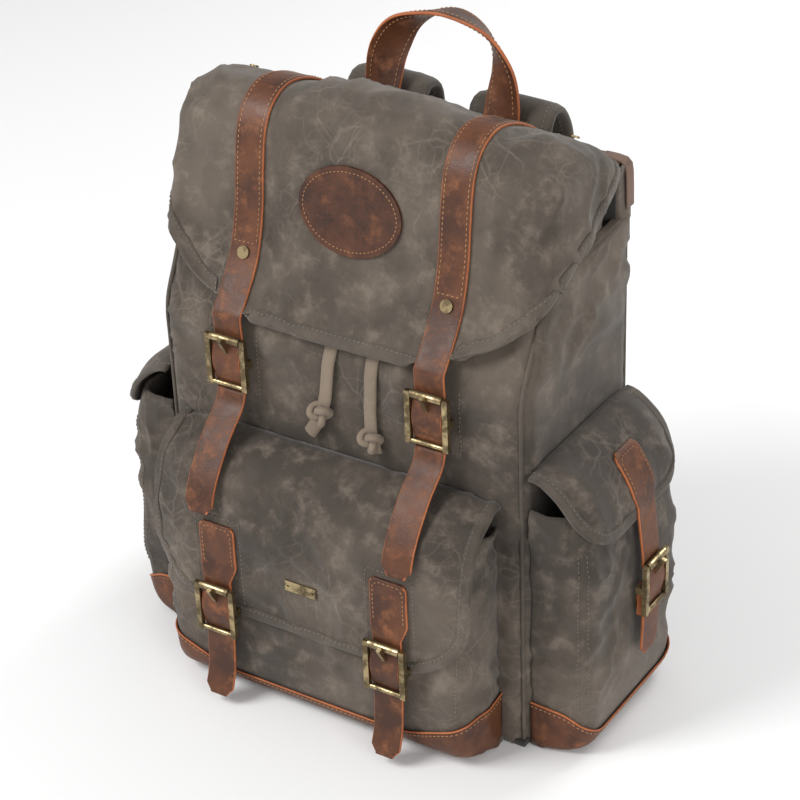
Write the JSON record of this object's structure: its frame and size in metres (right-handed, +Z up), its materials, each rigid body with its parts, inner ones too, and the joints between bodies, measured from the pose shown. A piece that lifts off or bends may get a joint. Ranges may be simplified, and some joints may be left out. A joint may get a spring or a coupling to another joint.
{
  "type": "travel backpack",
  "caption": "Flap-top canvas travel backpack with leather straps and trims, outside pockets, drawcord collar, carry handle and padded shoulder straps.",
  "frame": {"origin": "centre of the body's flat base, where the bag stands", "axes": "+Z up along the bag's height, +Y towards the wearer's back, +X to the right seen from the front"},
  "size_m": [0.4632, 0.2762, 0.509],
  "materials": {
    "waxed_canvas": "waxed, matt, creased",
    "base_canvas": "waxed, matt",
    "webbing": "woven cotton",
    "lining": "plain weave",
    "board": "matt",
    "drawcord": "flat woven cord",
    "zip_tape": "woven",
    "leather": "oiled pull-up, satin",
    "antique_brass": "antiqued, satin"
  },
  "bodies": {
    "bag": {"front_panel": "waxed_canvas", "back_panel": "waxed_canvas", "side_panels": "waxed_canvas", "base_panel": "base_canvas", "base_board": "board", "laptop_divider": "lining", "collar": "waxed_canvas", "collar_eyelets": "antique_brass", "drawcord_loop": "drawcord", "drawcord_left_tail": "drawcord", "drawcord_right_tail": "drawcord", "drawcord_knots": "drawcord", "front_pocket": "waxed_canvas", "left_pocket": "waxed_canvas", "right_pocket": "waxed_canvas", "pocket_trims": "leather", "snap_sockets": "antique_brass", "zip_tape": "zip_tape", "strap_anchors": "leather", "left_pad": "waxed_canvas", "right_pad": "waxed_canvas", "left_webbing": "webbing", "right_webbing": "webbing"},
    "main_flap": {"main_flap": "waxed_canvas", "flap_patch": "leather", "flap_rivets": "antique_brass", "main_strap_left": "leather", "main_strap_right": "leather", "main_frames": "antique_brass", "main_chapes": "leather", "main_studs": "antique_brass"},
    "main_tails": {"main_tails": "leather"},
    "main_rollers": {"main_rollers": "antique_brass"},
    "main_prongs": {"main_prongs": "antique_brass"},
    "front_flap": {"front_flap": "waxed_canvas", "badge": "antique_brass", "front_strap_left": "leather", "front_strap_right": "leather", "front_frames": "antique_brass", "front_chapes": "leather", "front_studs": "antique_brass"},
    "front_rollers": {"front_rollers": "antique_brass"},
    "front_prongs": {"front_prongs": "antique_brass"},
    "carry_handle": {"carry_handle": "leather"},
    "zip_slider": {"zip_slider": "antique_brass"},
    "zip_puller": {"zip_puller": "leather"},
    "left_slider": {"left_slider": "antique_brass"},
    "right_slider": {"right_slider": "antique_brass"},
    "left_flap": {"left_flap": "waxed_canvas", "left_strap": "leather", "left_frame": "antique_brass", "left_chape": "leather"},
    "left_roller": {"left_roller": "antique_brass"},
    "left_prong": {"left_prong": "antique_brass"},
    "right_flap": {"right_flap": "waxed_canvas", "right_strap": "leather", "right_frame": "antique_brass", "right_chape": "leather"},
    "right_roller": {"right_roller": "antique_brass"},
    "right_prong": {"right_prong": "antique_brass"}
  },
  "joints": [
    {"name": "main_flap_open", "type": "hinge", "parent": "bag", "child": "main_flap", "pos_m": [0, 0.058, 0.433], "axis": [-1, 0, 0], "range_deg": [0, 60]},
    {"name": "main_tails_lift", "type": "hinge", "parent": "main_flap", "child": "main_tails", "pos_m": [0, -0.0894, 0.251], "axis": [-1, 0, 0], "range_deg": [0, 60]},
    {"name": "main_rollers_spin", "type": "hinge", "parent": "main_flap", "child": "main_rollers", "pos_m": [0, -0.093, 0.2955], "axis": [1, 0, 0], "continuous": true},
    {"name": "main_prongs_lift", "type": "hinge", "parent": "main_flap", "child": "main_prongs", "pos_m": [0, -0.088, 0.276], "axis": [1, 0, 0], "range_deg": [0, 15]},
    {"name": "front_flap_open", "type": "hinge", "parent": "bag", "child": "front_flap", "pos_m": [0, -0.083, 0.216], "axis": [-1, 0, 0], "range_deg": [0, 60]},
    {"name": "front_rollers_spin", "type": "hinge", "parent": "front_flap", "child": "front_rollers", "pos_m": [0, -0.145, 0.1055], "axis": [1, 0, 0], "continuous": true},
    {"name": "front_prongs_lift", "type": "hinge", "parent": "front_flap", "child": "front_prongs", "pos_m": [0, -0.14, 0.086], "axis": [1, 0, 0], "range_deg": [0, 15]},
    {"name": "carry_handle_fold", "type": "hinge", "parent": "bag", "child": "carry_handle", "pos_m": [0, 0.076, 0.428], "axis": [-1, 0, 0], "range_deg": [-40, 12]},
    {"name": "zip_slider_run", "type": "slide", "parent": "bag", "child": "zip_slider", "axis": [-1, 0, 0], "range_m": [0, 0.24]},
    {"name": "zip_puller_lift", "type": "hinge", "parent": "zip_slider", "child": "zip_puller", "pos_m": [0.12, 0.069, 0.4322], "axis": [0, 1, 0], "range_deg": [0, 80]},
    {"name": "left_flap_open", "type": "hinge", "parent": "bag", "child": "left_flap", "pos_m": [-0.1608, 0, 0.2455], "axis": [0, 1, 0], "range_deg": [0, 80]},
    {"name": "left_roller_spin", "type": "hinge", "parent": "left_flap", "child": "left_roller", "pos_m": [-0.223, 0.004, 0.1445], "axis": [0, 1, 0], "continuous": true},
    {"name": "left_prong_lift", "type": "hinge", "parent": "left_flap", "child": "left_prong", "pos_m": [-0.218, 0.004, 0.125], "axis": [0, -1, 0], "range_deg": [0, 15]},
    {"name": "left_slider_run", "type": "slide", "parent": "bag", "child": "left_slider", "axis": [-0.2111, -0.088, -0.9735], "range_m": [0, 0.09]},
    {"name": "right_flap_open", "type": "hinge", "parent": "bag", "child": "right_flap", "pos_m": [0.1608, 0, 0.2455], "axis": [0, -1, 0], "range_deg": [0, 80]},
    {"name": "right_roller_spin", "type": "hinge", "parent": "right_flap", "child": "right_roller", "pos_m": [0.223, 0.004, 0.1445], "axis": [0, 1, 0], "continuous": true},
    {"name": "right_prong_lift", "type": "hinge", "parent": "right_flap", "child": "right_prong", "pos_m": [0.218, 0.004, 0.125], "axis": [0, 1, 0], "range_deg": [0, 15]},
    {"name": "right_slider_run", "type": "slide", "parent": "bag", "child": "right_slider", "axis": [0.2111, -0.088, -0.9735], "range_m": [0, 0.09]}
  ],
  "couplings": [
    {"joint": "main_tails_lift", "follows": "front_flap_open", "ratio": 1}
  ]
}
